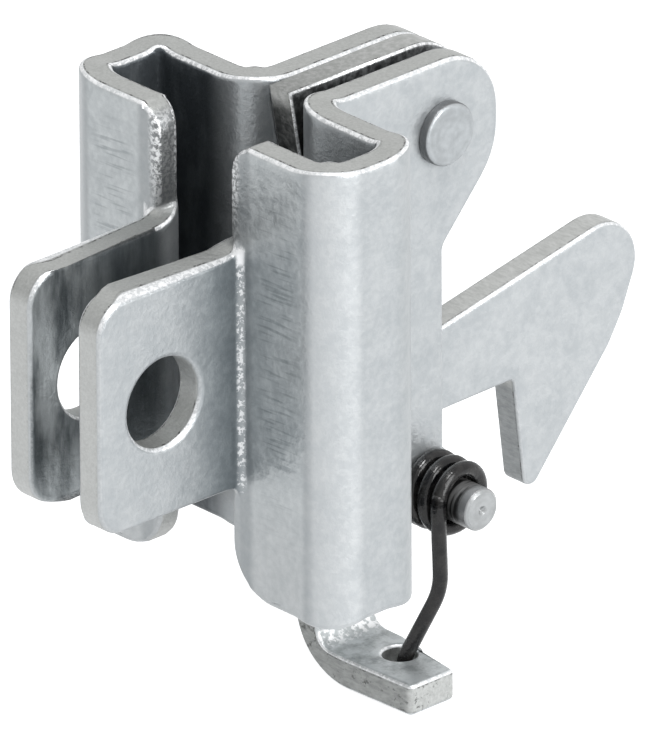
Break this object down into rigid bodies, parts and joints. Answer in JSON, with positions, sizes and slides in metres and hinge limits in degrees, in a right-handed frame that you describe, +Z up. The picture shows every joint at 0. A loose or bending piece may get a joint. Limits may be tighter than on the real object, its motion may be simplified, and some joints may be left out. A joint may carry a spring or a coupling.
{
  "type": "spring catch",
  "caption": "Pressed-steel spring catch that clamps on a flat bar; a sprung hook lever lifts over a striker and drops behind it.",
  "frame": {"origin": "on the axis of the clamp bolt's hole, midway between the two lugs", "axes": "+X runs back from the clamp lugs to the hook; +Y points away from the side that carries the spring; +Z points up, along the flat bar that the cheeks clamp"},
  "size_m": [0.0701, 0.0346, 0.0584],
  "materials": {
    "zinc_sheet": "satin",
    "zinc_pin": "gloss",
    "spring_wire": "gloss"
  },
  "bodies": {
    "body": {"near_cheek": "zinc_sheet", "far_cheek": "zinc_sheet", "spacer_plate": "zinc_sheet", "top_rivet": "zinc_pin", "rivet_washer": "zinc_pin", "pivot_pin": "zinc_pin", "pin_washer": "zinc_pin", "torsion_spring": "spring_wire"},
    "lever": {"hook_lever": "zinc_sheet"}
  },
  "joints": [
    {"name": "lever_pivot", "type": "hinge", "parent": "body", "child": "lever", "pos_m": [0.0323, 0, -0.0188], "axis": [0, -1, 0], "range_deg": [0, 35], "stiffness_Nm_per_rad": 0.62, "springref_deg": -30, "deforming": ["torsion_spring"]}
  ]
}
